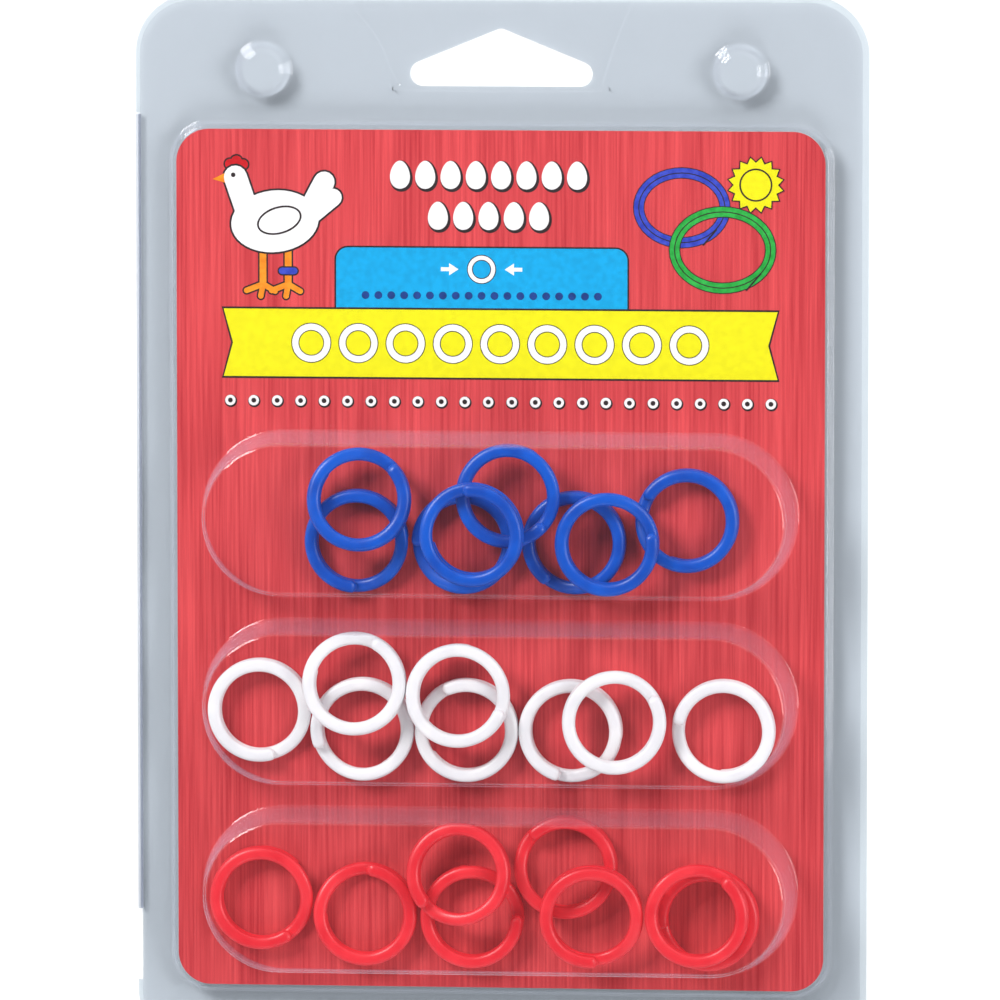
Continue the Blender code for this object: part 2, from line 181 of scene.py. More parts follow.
def coatedCardMaterial():
    # Coated board, offset printed: a red ground with fine upright wood-grain streaks,
    # and broad soft bands where the ink lies a little thicker.
    material, tree = newMaterial("coated_board_red_print")
    place = addNode(tree, "ShaderNodeTexCoord").outputs["Object"]
    # streaks 0.55 mm wide and about 30 mm long
    fine = addNode(tree, "ShaderNodeMapping", {"Scale": (1 / (0.55 * mm), 1 / (30 * mm), 1)},
                   {"Vector": place}).outputs[0]
    streaks = addNode(tree, "ShaderNodeTexNoise", {"Scale": 1.0, "Detail": 2.0, "Roughness": 0.6},
                      {"Vector": fine}).outputs["Fac"]
    # grain bands 6 mm wide
    broad = addNode(tree, "ShaderNodeMapping", {"Scale": (1 / (6 * mm), 1 / (90 * mm), 1)},
                    {"Vector": place}).outputs[0]
    bands = noise(tree, broad, 1.0, 1.0)
    grain = addNode(tree, "ShaderNodeMix", {"data_type": "FLOAT", 0: 0.35},
                    {2: streaks, 3: bands}).outputs[0]
    colour = twoColours(tree, grain, 0.34, "#BE3238", 0.66, "#E85456")
    surfaceOut(tree, printedGloss(tree, colour))
    return material


def boardMaterial():
    # Uncoated back and cut edges of the board: grey-white recycled pulp with flecks.
    material, tree = newMaterial("uncoated_board")
    place = addNode(tree, "ShaderNodeTexCoord").outputs["Object"]
    # pulp flecks about 0.8 mm across
    flecks = noise(tree, place, 0.8 * mm, 4.0)
    colour = twoColours(tree, flecks, 0.35, "#C9C4BA", 0.6, "#E4E0D6")
    bump = addNode(tree, "ShaderNodeBump", {"Strength": 0.3, "Distance": 0.02 * mm},
                   {"Height": flecks}).outputs["Normal"]
    surface = addNode(tree, "ShaderNodeBsdfPrincipled", {"Roughness": 0.85},
                      {"Base Color": colour, "Normal": bump}).outputs[0]
    surfaceOut(tree, surface)
    return material


def inkMaterial(name, dark, light):
    # Offset ink on coated board: even colour with the faint mottle of the board under it.
    material, tree = newMaterial(name)
    place = addNode(tree, "ShaderNodeTexCoord").outputs["Object"]
    # mottle 1.2 mm across
    mottle = noise(tree, place, 1.2 * mm, 2.0)
    surfaceOut(tree, printedGloss(tree, twoColours(tree, mottle, 0.35, dark, 0.65, light)))
    return material


def strandMaterial(name, dark, light, roughness):
    # Extruded polyethylene strand, wound warm: a soft waxy gloss with faint draw lines
    # and a slight change of depth in the colour along its length.
    material, tree = newMaterial(name)
    place = addNode(tree, "ShaderNodeTexCoord").outputs["Object"]
    # colour drifts over 5 mm; the skin's texture is 0.35 mm across, coarse enough to show
    drift = noise(tree, place, 5 * mm, 2.0)
    skin = noise(tree, place, 0.35 * mm, 3.0)
    colour = twoColours(tree, drift, 0.35, dark, 0.65, light)
    bump = addNode(tree, "ShaderNodeBump", {"Strength": 0.25, "Distance": 0.03 * mm},
                   {"Height": skin}).outputs["Normal"]
    gloss = addNode(tree, "ShaderNodeMapRange",
                    {"To Min": roughness - 0.06, "To Max": roughness + 0.08},
                    {"Value": skin}).outputs["Result"]
    surface = addNode(tree, "ShaderNodeBsdfPrincipled", {"IOR": 1.51},
                      {"Base Color": colour, "Roughness": gloss, "Normal": bump})
    surfaceOut(tree, surface.outputs[0])
    return material


lidSheet = clearSheetMaterial("clear_pet_lid", "#FDFDFE", 0.006)
foldedSheet = clearSheetMaterial("clear_pet_fold", "#F0F2F5", 0.04)
backSheet = clearSheetMaterial("clear_pet_back", "#F4F7F9", 0.0)
redPrint = coatedCardMaterial()
bareBoard = boardMaterial()
inks = {
    "dark": inkMaterial("offset_ink_dark", "#2A1F1C", "#35292A"),
    "yellow": inkMaterial("offset_ink_yellow", "#ECE602", "#F4EE04"),
    "cyan": inkMaterial("offset_ink_cyan", "#02A4DA", "#06B0E8"),
    "navy": inkMaterial("offset_ink_navy", "#183A7A", "#1F4690"),
    "white": inkMaterial("offset_ink_white", "#F7F6F2", "#FFFFFF"),
    "orange": inkMaterial("offset_ink_orange", "#EE8A14", "#FBA024"),
    "blue": inkMaterial("offset_ink_blue", "#2C3FB4", "#4254CC"),
    "green": inkMaterial("offset_ink_green", "#1FA038", "#35BC4C"),
    "red": inkMaterial("offset_ink_red", "#C41018", "#D81C22"),
}
strands = {
    "blue": strandMaterial("drawn_polyethylene_blue", "#0049B4", "#005ACC", 0.32),
    "white": strandMaterial("drawn_polyethylene_white", "#ECECEE", "#F6F6F6", 0.36),
    "red": strandMaterial("drawn_polyethylene_red", "#E62430", "#F4323C", 0.32),
}
print("materials made")


# An outline is a list of (x, y). Those that walls are formed on run anticlockwise.
quarter = math.pi / 2
cornerSegments = 24


def arcPoints(cx, cy, radius, start, end, segments):
    turns = [start + (end - start) * i / segments for i in range(segments + 1)]
    return [(cx + radius * math.cos(a), cy + radius * math.sin(a)) for a in turns]


def roundedBox(left, right, foot, top, radius, segments=cornerSegments):
    points = arcPoints(right - radius, top - radius, radius, 0, quarter, segments)
    points += arcPoints(left + radius, top - radius, radius, quarter, 2 * quarter, segments)
    points += arcPoints(left + radius, foot + radius, radius, 2 * quarter, 3 * quarter, segments)
    points += arcPoints(right - radius, foot + radius, radius, 3 * quarter, 4 * quarter, segments)
    return points


def stadium(halfX, halfY, cy, segments=40):
    reach = halfX - halfY
    right = arcPoints(reach, cy, halfY, -quarter, quarter, segments)
    return right + arcPoints(-reach, cy, halfY, quarter, 3 * quarter, segments)


def circle(cx, cy, radius, segments=96):
    return arcPoints(cx, cy, radius, 0, 2 * math.pi, segments)[:-1]


cardCorner = 6 * mm


def aroundCard(margin):
    radius = cardCorner + margin
    return roundedBox(cardLow.x - margin, cardHigh.x + margin,
                      cardLow.y - margin, cardHigh.y + margin, radius)


# Flat triangle with round corners that the peg goes through.
hangHole = {"width": 33.2 * mm, "height": 10.5 * mm, "endRadius": 2.3 * mm, "topRadius": 1.5 * mm,
            "foot": frontHigh.y - 15.4 * mm}


def hangHoleOutline():
    h = hangHole
    endX = h["width"] / 2 - h["endRadius"]
    endY = h["foot"] + h["endRadius"]
    topY = h["foot"] + h["height"] - h["topRadius"]
    slope = math.atan2(topY - endY, endX)
    slope -= math.asin((h["endRadius"] - h["topRadius"]) / math.hypot(endX, topY - endY))
    points = arcPoints(endX, endY, h["endRadius"], -quarter, quarter - slope, 16)
    points += arcPoints(0, topY, h["topRadius"], quarter - slope, quarter + slope, 10)
    points += arcPoints(-endX, endY, h["endRadius"], quarter + slope, 3 * quarter, 16)
    return points


def inside(point, outline):
    # counts how often a line from the point crosses the outline
    x, y = point
    hit = False
    for (ax, ay), (bx, by) in zip(outline, outline[1:] + outline[:1]):
        if (ay > y) != (by > y) and x < (bx - ax) * (y - ay) / (by - ay) + ax:
            hit = not hit
    return hit


# The narrow flat strip beside each bend keeps the shading of the flats even.
flatGuard = 0.12 * mm


def formSteps(footZ, topZ, draft, footRadius, topRadius, steps=6):
    # (inset, z) from the flat round a form, up its wall, to the flat on its top
    lean = math.atan2(topZ - footZ, draft)
    footStart = -footRadius * math.tan(lean / 2)
    topEnd = draft + topRadius * math.tan(lean / 2)
    stations = [(footStart - flatGuard, footZ)]
    for i in range(steps + 1):
        a = lean * i / steps
        stations.append((footStart + footRadius * math.sin(a), footZ + footRadius * (1 - math.cos(a))))
    for i in range(steps, -1, -1):
        a = lean * i / steps
        stations.append((topEnd - topRadius * math.sin(a), topZ - topRadius * (1 - math.cos(a))))
    stations.append((topEnd + flatGuard, topZ))
    return stations


def wallStrips(mesh, outlineAt, stations):
    # strips from ring to ring; returns the outlines of the first and last ring
    rings = []
    outlines = [outlineAt(inset) for inset, _ in stations]
    for outline, (_, z) in zip(outlines, stations):
        rings.append([mesh.verts.new((x, y, z)) for x, y in outline])
    for lower, upper in zip(rings, rings[1:]):
        for i in range(len(lower)):
            j = (i + 1) % len(lower)
            mesh.faces.new((lower[i], lower[j], upper[j], upper[i]))
    return outlines[0], outlines[-1]


def flatFill(mesh, z, outer, holes, lines=()):
    # fills between the outer outline and the holes; lines are creases to keep as edges
    points, edges = [], []
    for loop in [outer] + list(holes):
        start = len(points)
        points += [Vector(p) for p in loop]
        edges += [(start + i, start + (i + 1) % len(loop)) for i in range(len(loop))]
    for line in lines:
        start = len(points)
        points += [Vector(p) for p in line]
        edges += [(start + i, start + i + 1) for i in range(len(line) - 1)]
    found, _, triangles, _, _, _ = delaunay_2d_cdt(points, edges, [], 0, 1e-8)
    verts = [mesh.verts.new((p.x, p.y, z)) for p in found]
    for triangle in triangles:
        middle = sum((found[i] for i in triangle), Vector((0, 0))) / 3
        if inside(middle, outer) and not any(inside(middle, hole) for hole in holes):
            mesh.faces.new([verts[i] for i in triangle])
    for vert in verts:
        if not vert.link_faces:
            mesh.verts.remove(vert)


def finishPiece(mesh, name, materials, weld=sheet["weld"], sharp=sheet["sharp"]):
    bmesh.ops.remove_doubles(mesh, verts=mesh.verts, dist=weld)
    bmesh.ops.recalc_face_normals(mesh, faces=mesh.faces)
    data = bpy.data.meshes.new(name)
    mesh.to_mesh(data)
    mesh.free()
    data.shade_smooth()
    data.set_sharp_from_angle(angle=math.radians(sharp))
    for material in materials:
        data.materials.append(material)
    piece = bpy.data.objects.new(name, data)
    bpy.context.scene.collection.objects.link(piece)
    return piece


def faceUp(mesh):
    mesh.normal_update()
    for face in mesh.faces:
        if face.normal.z < 0:
            face.normal_flip()


def makeSheet(mesh, name, material):
    # gives the formed surface its thickness, downwards
    bmesh.ops.remove_doubles(mesh, verts=mesh.verts, dist=sheet["weld"])
    faceUp(mesh)
    data = bpy.data.meshes.new(name)
    mesh.to_mesh(data)
    mesh.free()
    data.shade_smooth()
    data.materials.append(material)
    piece = bpy.data.objects.new(name, data)
    bpy.context.scene.collection.objects.link(piece)
    thicken = piece.modifiers.new("sheet", "SOLIDIFY")
    thicken.thickness = sheet["thickness"]
    thicken.offset = -1
    thicken.use_even_offset = True
    thicken.use_quality_normals = True
    # the cut edges stay crisp
    thickened = piece.evaluated_get(bpy.context.evaluated_depsgraph_get())
    solid = bpy.data.meshes.new_from_object(thickened)
    piece.modifiers.clear()
    piece.data = solid
    solid.shade_smooth()
    solid.set_sharp_from_angle(angle=math.radians(sheet["sharp"]))
    return piece


# The lid's pockets, snap domes and the foot of its body.
pocket = {"halfLength": 54.3 * mm, "halfWidth": 15.2 * mm, "pitch": 34.35 * mm,
          "fromCardFoot": 2.75 * mm, "draft": 1.43 * mm, "footRadius": 0.35 * mm,
          "topRadius": 0.95 * mm, "bendSteps": 8}
snap = {"fromCentre": 43.4 * mm, "fromTop": 12.6 * mm, "base": 5.35 * mm, "draft": 1.25 * mm,
        "height": 3.0 * mm, "footRadius": 0.4 * mm, "topRadius": 1.1 * mm}
body = {"footRadius": 0.35 * mm, "topRadius": 0.5 * mm}
lidCorner = 9.7 * mm
# A shallow tapering step in the header, from the hang hole out to the top edge. Its points
# are in millimetres from the middle of the hole's foot. The sheet is given edges to bend
# at beside that line, at these shares of the slope's width.
funnel = {"step": 0.25 * mm, "slope": 0.5 * mm,
          "creases": (-0.7, -0.5, -0.3, -0.1, 0.1, 0.3, 0.5, 0.7),
          "halfReach": 30 * mm, "belowFoot": 2 * mm,
          "left": [(-27.6, 16.0), (-25.6, 12.6), (-22.9, 9.4), (-21.2, 6.0), (-19.7, 2.4),
                   (-18.4, 0.2), (-16.6, -0.75)],
          "right": [(16.6, -0.75), (18.2, 0.4), (19.0, 2.6), (20.6, 7.6), (22.3, 12.0),
                    (24.2, 16.0)]}


def pocketY(index):
    # pockets are counted from the header down
    foot = cardLow.y + pocket["fromCardFoot"] + pocket["halfWidth"]
    return foot + (2 - index) * pocket["pitch"]


def snapY():
    return frontHigh.y - snap["fromTop"]


def funnelLine():
    foot = hangHole["foot"]
    return [Vector((x * mm, foot + y * mm)) for x, y in funnel["left"] + funnel["right"]]


def funnelSide(point, line):
    # signed distance from the funnel's crease, positive on the hang hole's side
    farAbove = [(0.1, 0.2), (-0.1, 0.2)]
    nearest = 1.0
    for a, b in zip(line, line[1:]):
        along, share = intersect_point_line(point, a, b)
        along = a if share < 0 else b if share > 1 else along
        nearest = min(nearest, (point - Vector(along[:2])).length)
    closed = [tuple(p) for p in line] + farAbove
    return nearest if inside(tuple(point), closed) else -nearest


def offsetLine(line, distance):
    moved = []
    for i, p in enumerate(line):
        along = (line[min(i + 1, len(line) - 1)] - line[max(i - 1, 0)]).normalized()
        moved.append(p + Vector((-along.y, along.x)) * distance)
    return moved


def smoothLine(line, parts=6):
    # a smooth curve through the points
    out = []
    for i in range(len(line) - 1):
        p0, p1 = line[max(i - 1, 0)], line[i]
        p2, p3 = line[i + 1], line[min(i + 2, len(line) - 1)]
        for k in range(parts):
            t = k / parts
            out.append(0.5 * (2 * p1 + (p2 - p0) * t + (2 * p0 - 5 * p1 + 4 * p2 - p3) * t * t
                              + (3 * p1 - p0 - 3 * p2 + p3) * t ** 3))
    return out + [line[-1]]


def makeLid():
    mesh = bmesh.new()
    flangeZ = sheet["frontFlange"]
    holes = []
    # body round the card, and the pockets that rise from its panel
    foot, top = wallStrips(mesh, lambda inset: aroundCard(sheet["bodyMargin"] - inset),
                           formSteps(flangeZ, sheet["panel"], sheet["bodyDraft"], **body))
    holes.append(foot)
    pocketFeet = []
    for index in range(3):
        y = pocketY(index)
        pocketFoot, roof = wallStrips(
            mesh,
            lambda inset: stadium(pocket["halfLength"] - inset, pocket["halfWidth"] - inset, y),
            formSteps(sheet["panel"], sheet["roof"], pocket["draft"],
                      pocket["footRadius"], pocket["topRadius"], pocket["bendSteps"]))
        flatFill(mesh, sheet["roof"], roof, [])
        pocketFeet.append(pocketFoot)
    flatFill(mesh, sheet["panel"], top, pocketFeet)
    for side in (-1, 1):
        snapFoot, dome = wallStrips(
            mesh, lambda inset: circle(side * snap["fromCentre"], snapY(), snap["base"] - inset),
            formSteps(flangeZ, flangeZ + snap["height"], snap["draft"],
                      snap["footRadius"], snap["topRadius"]))
        flatFill(mesh, flangeZ + snap["height"], dome, [])
        holes.append(snapFoot)
    # flange, with the funnel's crease kept as edges
    edge = roundedBox(frontLow.x, frontHigh.x, frontLow.y, frontHigh.y, lidCorner)
    crease = smoothLine(funnelLine())
    slope = funnel["slope"]
    lines = [offsetLine(crease, slope * share) for share in funnel["creases"]]
    hole = hangHoleOutline()
    before = set(mesh.verts)
    flatFill(mesh, flangeZ, edge, holes + [hole], lines)
    # the funnel stands a little lower than the flange round it
    lowest = hangHole["foot"] - funnel["belowFoot"]
    for vert in set(mesh.verts) - before:
        if vert.co.y > lowest and abs(vert.co.x) < funnel["halfReach"]:
            depth = funnelSide(vert.co.xy, crease) / slope + 0.5
            depth = min(max(depth, 0), 1)
            vert.co.z -= funnel["step"] * depth * depth * (3 - 2 * depth)
    lid = makeSheet(mesh, "formed_lid", lidSheet)
    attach(lid, "front_half")
    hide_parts("front_shell")


# The back shell's raised bed under the card.
plateau = {"draft": 0.4 * mm, "footRadius": 0.5 * mm, "topRadius": 0.4 * mm, "inset": 0.5 * mm}
# The flange is cut back on the left for the fold, and on below it by cutBelowFold.
backFlange = {"corner": 10.9 * mm, "cutAboveFold": 0.25 * mm, "cutBelowFold": 13.2 * mm}
studGrowth = 0.15 * mm      # a stud is this much wider than plain nesting would make it


def makeBack():
    mesh = bmesh.new()
    flangeZ = sheet["backFlange"]
    margin = sheet["bodyMargin"] - sheet["nesting"] - plateau["inset"]
    foot, top = wallStrips(mesh, lambda inset: aroundCard(margin - inset),
                           formSteps(flangeZ, sheet["plateau"], plateau["draft"],
                                     plateau["footRadius"], plateau["topRadius"]))
    flatFill(mesh, sheet["plateau"], top, [])
    holes = [foot]
    for side in (-1, 1):
        studFoot, studTop = wallStrips(
            mesh, lambda inset: circle(side * snap["fromCentre"], snapY(),
                                       snap["base"] - sheet["nesting"] + studGrowth - inset),
            formSteps(flangeZ, flangeZ + snap["height"], snap["draft"],
                      snap["footRadius"], snap["topRadius"]))
        flatFill(mesh, flangeZ + snap["height"], studTop, [])
        holes.append(studFoot)
    edge = roundedBox(backLow.x, backHigh.x, backLow.y, backHigh.y, backFlange["corner"])
    recessTop = hingeHigh.y + backFlange["cutAboveFold"]
    recessFoot = hingeLow.y - backFlange["cutBelowFold"]
    recessX = frontLow.x
    afterTopLeft = 2 * (cornerSegments + 1)
    recess = [(backLow.x, recessTop), (recessX, recessTop),
              (recessX, recessFoot), (backLow.x, recessFoot)]
    edge = edge[:afterTopLeft] + recess + edge[afterTopLeft:]
    flatFill(mesh, flangeZ, edge, holes + [hangHoleOutline()])
    back = makeSheet(mesh, "formed_back", backSheet)
    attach(back, "back_half")
    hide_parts("back_shell")


# The strip along the left edge that joins the two halves.
fold = {"innerRadius": 0.15 * mm, "segments": 14, "lengthSteps": 40}


def makeFold():
    # the strip runs from the back flange round to the lid's flange
    middleZ = (sheet["frontFlange"] + backLow.z) / 2
    inner = fold["innerRadius"]
    outer = inner + sheet["thickness"]
    foldX = cadBox[0].x + outer
    joinX = frontLow.x
    section = [(joinX, middleZ - outer), (joinX, middleZ - inner)]
    section += arcPoints(foldX, middleZ, inner, -quarter, -3 * quarter, fold["segments"])
    section += [(joinX, middleZ + inner), (joinX, middleZ + outer)]
    section += arcPoints(foldX, middleZ, outer, quarter, 3 * quarter, fold["segments"])
    mesh = bmesh.new()
    rings = []
    for k in range(fold["lengthSteps"] + 1):
        y = hingeLow.y + (hingeHigh.y - hingeLow.y) * k / fold["lengthSteps"]
        rings.append([mesh.verts.new((x, y, z)) for x, z in section])
    for one, other in zip(rings, rings[1:]):
        for i in range(len(section)):
            j = (i + 1) % len(section)
            mesh.faces.new((one[i], one[j], other[j], other[i]))
    mesh.faces.new(rings[0])
    mesh.faces.new(rings[-1])
    strip = finishPiece(mesh, "fold_strip", [foldedSheet])
    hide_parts("living_hinge")
    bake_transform(strip)


def makeCard():
    # printed on top; the edges and the back are bare board
    outline = aroundCard(0)
    boardSlot = 1
    mesh = bmesh.new()
    flatFill(mesh, cardHigh.z, outline, [])
    faceUp(mesh)
    copy = bmesh.ops.duplicate(mesh, geom=list(mesh.faces))
    rear = [g for g in copy["geom"] if isinstance(g, bmesh.types.BMFace)]
    for vert in {v for f in rear for v in f.verts}:
        vert.co.z = cardLow.z
    bmesh.ops.reverse_faces(mesh, faces=rear)
    for face in rear:
        face.material_index = boardSlot
    upper = [mesh.verts.new((x, y, cardHigh.z)) for x, y in outline]
    lower = [mesh.verts.new((x, y, cardLow.z)) for x, y in outline]
    for i in range(len(outline)):
        j = (i + 1) % len(outline)
        wall = mesh.faces.new((lower[i], lower[j], upper[j], upper[i]))
        wall.material_index = boardSlot
    card = finishPiece(mesh, "printed_card", [redPrint, bareBoard], weld=0.0005 * mm, sharp=30)
    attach(card, "back_half")
    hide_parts("insert_card")


def shift(outline, dx, dy):
    return [(x + dx, y + dy) for x, y in outline]


def ellipse(cx, cy, rx, ry, turn=0.0, segments=40):
    out = []
    for i in range(segments):
        a = 2 * math.pi * i / segments
        x, y = rx * math.cos(a), ry * math.sin(a)
        out.append((cx + x * math.cos(turn) - y * math.sin(turn),
                    cy + x * math.sin(turn) + y * math.cos(turn)))
    return out


def disc(cx, cy, radius, segments=40):
    return ellipse(cx, cy, radius, radius, 0, segments)


def eggOutline(cx, cy, halfWidth, halfHeight, segments=36):
    # blunt end down
    taper = 0.16
    out = []
    for i in range(segments):
        a = 2 * math.pi * i / segments
        y = math.sin(a)
        out.append((cx + halfWidth * math.cos(a) * (1 - taper * y), cy + halfHeight * y))
    return out


def barOutline(ax, ay, bx, by, radius, segments=8):
    # a bar with round ends from a to b
    along = math.atan2(by - ay, bx - ax)
    out = arcPoints(bx, by, radius, along - quarter, along + quarter, segments)
    return out + arcPoints(ax, ay, radius, along + quarter, along + 3 * quarter, segments)


# Each printed layer lies one step over the one under it, and shapes of one layer that
# overlap lie one overlap apart. All stand a lift off the card, so that no faces coincide.
inkStep = 0.015 * mm
inkOverlap = 0.0008 * mm
inkLift = 0.002 * mm
rim = 0.32 * mm             # dark line round a printed ring


def ink(name, shapes):
    # shapes are (layer, ink, outer, holes), in metres from the card's middle
    used = sorted({shape[1] for shape in shapes})
    mesh = bmesh.new()
    for layer in sorted({shape[0] for shape in shapes}):
        group = [shape for shape in shapes if shape[0] == layer]
        for i, (_, colour, outer, holes) in enumerate(group):
            part = bmesh.new()
            flatFill(part, cardHigh.z + inkStep * (layer + 1) + i * inkOverlap,
                     shift(outer, cardMiddle.x, cardMiddle.y),
                     [shift(h, cardMiddle.x, cardMiddle.y) for h in holes])
            faceUp(part)
            edges = [e for e in part.edges if e.is_boundary]
            walls = bmesh.ops.extrude_edge_only(part, edges=edges)
            for g in walls["geom"]:
                if isinstance(g, bmesh.types.BMVert):
                    g.co.z = cardHigh.z + inkLift
            for face in part.faces:
                face.material_index = used.index(colour)
            data = bpy.data.meshes.new("shape")
            part.to_mesh(data)
            part.free()
            mesh.from_mesh(data)
            bpy.data.meshes.remove(data)
    printed = finishPiece(mesh, name, [inks[colour] for colour in used], weld=1e-9, sharp=30)
    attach(printed, "back_half")


def ringShapes(layer, colour, cx, cy, rx, ry, stroke):
    # a ring with a dark line inside and outside
    return [
        (layer, "dark", ellipse(cx, cy, rx + rim / 2, ry + rim / 2),
         [ellipse(cx, cy, rx - stroke - rim / 2, ry - stroke - rim / 2)]),
        (layer + 1, colour, ellipse(cx, cy, rx, ry),
         [ellipse(cx, cy, rx - stroke, ry - stroke)]),
    ]


# The heading: a yellow ribbon with a cyan tab behind it, both with generic pictograms.
ribbon = {"halfWidth": 50.5 * mm, "top": 45.7 * mm, "foot": 33.2 * mm, "notch": 1.7 * mm,
          "rings": 9, "ringRadius": 3.5 * mm, "ringStroke": 1.15 * mm, "pitch": 8.6 * mm,
          "darkEdge": 0.25 * mm, "yellowEdge": -0.1 * mm}
tab = {"left": -29.9 * mm, "right": 23.2 * mm, "top": 56.9 * mm, "radius": 2.2 * mm,
       "darkEdge": 0.25 * mm, "cyanEdge": -0.05 * mm, "underRibbon": 1 * mm,
       "signDrop": 3.9 * mm, "ringRadius": 2.5 * mm, "ringStroke": 0.75 * mm,
       "arrowNear": 4.2 * mm, "arrowFar": 7.4 * mm, "headLength": 1.7 * mm, "headHalf": 1.1 * mm,
       "shaftHalf": 0.35 * mm,
       "dots": 19, "dotPitch": 2.35 * mm, "dotDrop": 8.7 * mm, "dotRadius": 0.72 * mm}


def makeRibbon():
    r = ribbon
    middle = (r["top"] + r["foot"]) / 2

    def tail(grow):
        w, t, f, n = r["halfWidth"] + grow, r["top"] + grow, r["foot"] - grow, r["notch"]
        return [(w, f), (w - n, middle), (w, t), (-w, t), (-w + n, middle), (-w, f)]

    shapes = [(2, "dark", tail(r["darkEdge"]), []), (3, "yellow", tail(r["yellowEdge"]), [])]
    for i in range(r["rings"]):
        x = (i - (r["rings"] - 1) / 2) * r["pitch"]
        shapes += ringShapes(4, "white", x, middle, r["ringRadius"], r["ringRadius"],
                             r["ringStroke"])
    ink("print_ribbon", shapes)


def makeTab():
    t = tab
    foot = ribbon["top"] - t["underRibbon"]

    def sign(grow):
        radius, y = t["radius"] + grow, t["top"] - t["radius"]
        top = arcPoints(t["right"] - t["radius"], y, radius, 0, quarter, 8)
        top += arcPoints(t["left"] + t["radius"], y, radius, quarter, 2 * quarter, 8)
        return top + [(t["left"] - grow, foot), (t["right"] + grow, foot)]

    shapes = [(0, "dark", sign(t["darkEdge"]), []), (1, "cyan", sign(t["cyanEdge"]), [])]
    # size pictogram: a ring between two arrowheads, over a row of dots
    cx = (t["left"] + t["right"]) / 2
    cy = t["top"] - t["signDrop"]
    shapes += ringShapes(2, "white", cx, cy, t["ringRadius"], t["ringRadius"], t["ringStroke"])
    head, shaft = t["headHalf"], t["shaftHalf"]
    for side in (-1, 1):
        near, far = cx + side * t["arrowNear"], cx + side * t["arrowFar"]
        neck = near + side * t["headLength"]
        arrow = [(near, cy), (neck, cy - head), (neck, cy - shaft), (far, cy - shaft),
                 (far, cy + shaft), (neck, cy + shaft), (neck, cy + head)]
        shapes.append((2, "white", arrow, []))
    for i in range(t["dots"]):
        x = cx + (i - (t["dots"] - 1) / 2) * t["dotPitch"]
        shapes.append((2, "navy", disc(x, t["top"] - t["dotDrop"], t["dotRadius"], 16), []))
    ink("print_tab", shapes)


# Two rows of eggs, each with a dark edge that falls to the lower right. Rows are (count, y).
eggs = {"rows": ((8, 70.1 * mm), (5, 62.7 * mm)), "middle": -2.1 * mm, "pitch": 4.6 * mm,
        "halfWidth": 1.8 * mm, "halfHeight": 2.55 * mm,
        "darkHalfWidth": 2.05 * mm, "darkHalfHeight": 2.85 * mm, "shadow": 0.25 * mm}


def makeEggRows():
    e = eggs
    shapes = []
    for count, y in e["rows"]:
        for i in range(count):
            x = e["middle"] + (i - (count - 1) / 2) * e["pitch"]
            dark = eggOutline(x + e["shadow"], y - e["shadow"],
                              e["darkHalfWidth"], e["darkHalfHeight"])
            shapes.append((0, "dark", dark, []))
            shapes.append((1, "white", eggOutline(x, y, e["halfWidth"], e["halfHeight"]), []))
    ink("print_eggs", shapes)


# One small ring for each band in the pack.
dots = {"y": 28.9 * mm, "pitch": 4.28 * mm, "radius": 0.95 * mm, "hole": 0.45 * mm,
        "darkRadius": 1.15 * mm, "shadowX": 0.1 * mm, "shadowY": 0.15 * mm}


def makeDotRow():
    d = dots
    count = sum(node.startswith("band_") for node in frame["nodes"])
    shapes = []
    for i in range(count):
        x = (i - (count - 1) / 2) * d["pitch"]
        dark = disc(x + d["shadowX"], d["y"] - d["shadowY"], d["darkRadius"], 20)
        shapes.append((0, "dark", dark, []))
        shapes.append((1, "white", disc(x, d["y"], d["radius"], 20),
                       [disc(x, d["y"], d["hole"], 14)]))
    ink("print_dots", shapes)


# A plain hen silhouette, drawn like a sign. Places are in millimetres from the middle of
# its body; a bar is (from, to, radius).
hen = {"middle": (-41.0 * mm, 61.5 * mm), "bodyX": 8.0, "bodyY": 5.6, "bodyTurn": 0.12,
       "darkEdge": 0.35, "legEdge": 0.28, "combEdge": 0.3,
       "bars": [((-5.2, 2.2), (-7.2, 8.0), 2.1), ((6.0, 1.6), (9.0, 7.2), 1.9),
                ((6.0, 0.6), (10.6, 4.4), 1.6)],
       "comb": [(-8.2, 10.4, 0.9), (-7.0, 10.9, 1.0), (-5.8, 10.3, 0.9)],
       "beak": [(-8.8, 8.9), (-11.4, 7.6), (-8.8, 6.9)], "eye": (-7.6, 8.4, 0.42),
       "wing": (0.8, 0.2), "wingTurn": 0.3, "wingOuter": (4.2, 2.5), "wingInner": (3.85, 2.15),
       "hips": [(-2.2, -5.0), (2.4, -5.0)], "shin": 6.4, "shinRadius": 0.62,
       "toes": [(-3.0, -7.6), (-0.4, -8.6), (2.2, -7.7)], "toeRadius": 0.5,
       "legBand": (2.4, -9.0), "bandHalf": 1.1, "bandRadius": 0.6, "bandDarkRadius": 0.85}


